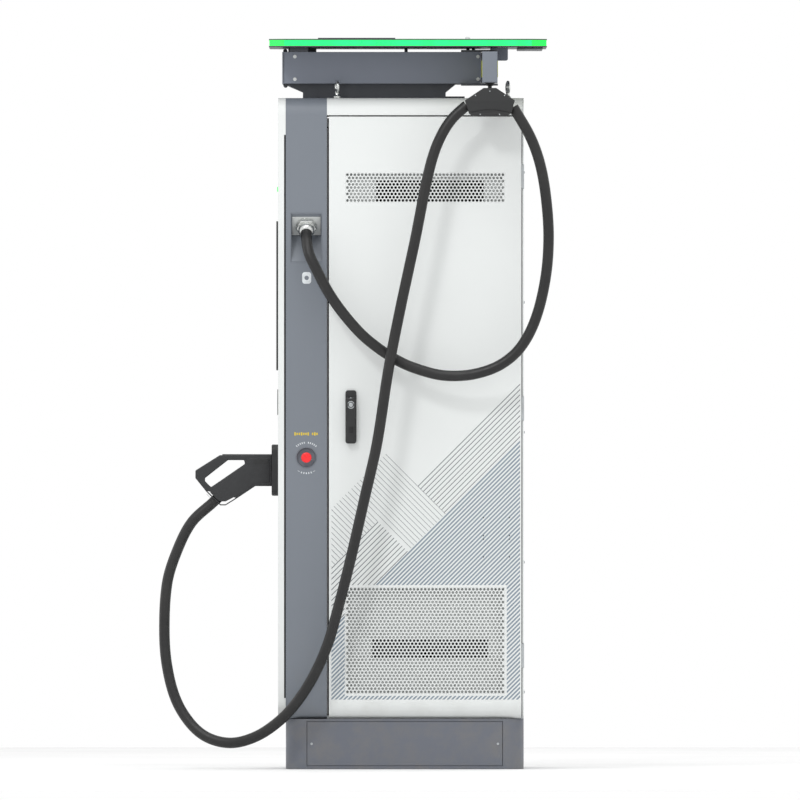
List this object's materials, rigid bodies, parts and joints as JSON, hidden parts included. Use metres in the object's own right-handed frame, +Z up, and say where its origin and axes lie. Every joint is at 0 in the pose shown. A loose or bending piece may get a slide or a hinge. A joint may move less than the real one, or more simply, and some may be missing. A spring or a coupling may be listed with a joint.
{
  "type": "ev charging post",
  "caption": "Free-standing charging cabinet on a plinth with a side door, swing arm, lit canopy and one hanging cable with its connector in a holster.",
  "frame": {"origin": "centre of the anchor bolt pattern, at floor level", "axes": "+Z up, the connector holster faces -X, the door faces -Y"},
  "size_m": [1.185, 0.81, 2.1935],
  "materials": {
    "white_paint": "satin white powder coat",
    "grey_paint": "satin blue-grey powder coat",
    "dark_paint": "satin dark grey powder coat",
    "header_paint": "satin grey powder coat",
    "plinth_paint": "satin grey powder coat",
    "zinc": "zinc plated",
    "nickel": "nickel plated",
    "black_plastic": "fine textured",
    "gun_plastic": "fine textured",
    "rubber": "smooth cable jacket",
    "gasket": "matt",
    "glass": "glossy dark",
    "led": "lit diffuser",
    "red": "moulded",
    "inner_plate": "light grey",
    "module": "sheet housing",
    "electrics": "moulded housings",
    "canopy_shell": "satin painted",
    "turret_shell": "satin painted"
  },
  "bodies": {
    "root": {"plinth_frame": "plinth_paint", "plinth_panels": "plinth_paint", "plinth_screws": "zinc", "base_tray": "zinc", "frame_posts": "zinc", "top_tray": "zinc", "belt_b": "grey_paint", "belt_a": "grey_paint", "belt_top": "grey_paint", "roof_shell": "white_paint", "side_panel_a": "white_paint", "rear_cover": "white_paint", "front_cover": "white_paint", "front_gasket": "gasket", "display_bezel": "black_plastic", "display_glass": "glass", "rfid_window": "black_plastic", "status_led": "led", "holster": "black_plastic", "holster_screws": "zinc", "niche_housing": "grey_paint", "gland_plate": "nickel", "cable_gland": "nickel", "estop_dish": "dark_paint", "estop_body": "black_plastic", "grilles_a": "white_paint", "hinge_fixed": "zinc", "lifting_eyes": "zinc", "turret_base": "turret_shell", "header_box": "header_paint", "header_bolts": "zinc", "arm_bracket": "header_paint", "canopy_tray": "canopy_shell", "canopy_led": "led", "canopy_supports": "dark_paint", "cable_loop": "rubber", "cable_drop": "rubber", "cable_lead": "rubber", "power_modules": "module", "electrics": "electrics"},
    "door": {"door_b": "white_paint", "grille_upper_b": "white_paint", "grille_lower_b": "white_paint", "vent_plates_b": "inner_plate", "hinge_door": "zinc", "handle_base": "black_plastic", "fan_frames": "black_plastic"},
    "spindle": {"handle_spindle": "zinc"},
    "lever": {"handle_lever": "black_plastic"},
    "rod_up": {"latch_rod_upper": "zinc"},
    "rod_down": {"latch_rod_lower": "zinc"},
    "stop_stem": {"estop_stem": "zinc"},
    "stop_head": {"estop_head": "red"},
    "arm": {"arm_tube": "header_paint", "arm_hanger": "black_plastic", "clamp_shell": "black_plastic"},
    "gun": {"gun_shell": "gun_plastic", "gun_nose": "black_plastic"},
    "fan_1": {"fan_rotor_1": "black_plastic"},
    "fan_2": {"fan_rotor_2": "black_plastic"}
  },
  "joints": [
    {"name": "door_swing", "type": "hinge", "parent": "root", "child": "door", "pos_m": [0.354, -0.298, 1.08], "axis": [0, 0, 1], "range_deg": [0, 160], "deforming": ["cable_loop", "cable_drop"]},
    {"name": "handle_turn", "type": "hinge", "parent": "door", "child": "spindle", "pos_m": [-0.1615, -0.29, 1.108], "axis": [0, 1, 0], "range_deg": [0, 90]},
    {"name": "handle_lift", "type": "hinge", "parent": "spindle", "child": "lever", "pos_m": [-0.1615, -0.3168, 1.108], "axis": [-1, 0, 0], "range_deg": [0, 35]},
    {"name": "latch_up", "type": "slide", "parent": "door", "child": "rod_up", "axis": [0, 0, -1], "range_m": [0, 0.014]},
    {"name": "latch_down", "type": "slide", "parent": "door", "child": "rod_down", "axis": [0, 0, 1], "range_m": [0, 0.014]},
    {"name": "stop_push", "type": "slide", "parent": "root", "child": "stop_stem", "axis": [0, 1, 0], "range_m": [0, 0.004], "stiffness_N_per_m": 1500},
    {"name": "stop_twist", "type": "hinge", "parent": "stop_stem", "child": "stop_head", "pos_m": [-0.29525, -0.31, 0.934], "axis": [0, 1, 0], "range_deg": [0, 30], "stiffness_Nm_per_rad": 0.2},
    {"name": "arm_swing", "type": "hinge", "parent": "root", "child": "arm", "pos_m": [0.255, -0.18, 2.1], "axis": [0, 0, 1], "range_deg": [0, 60], "deforming": ["cable_loop", "cable_drop"]},
    {"name": "connector_pull", "type": "slide", "parent": "root", "child": "gun", "axis": [-1, 0, 0], "range_m": [0, 0.06], "deforming": ["cable_lead"]},
    {"name": "fan_spin_1", "type": "hinge", "parent": "door", "child": "fan_1", "pos_m": [0.02125, -0.2662, 1.744], "axis": [0, 1, 0], "continuous": true},
    {"name": "fan_spin_2", "type": "hinge", "parent": "door", "child": "fan_2", "pos_m": [0.12725, -0.2662, 1.744], "axis": [0, 1, 0], "continuous": true}
  ],
  "couplings": [
    {"joint": "latch_up", "follows": "handle_turn", "m_per_rad": 0.0089126},
    {"joint": "latch_down", "follows": "handle_turn", "m_per_rad": 0.0089126}
  ]
}
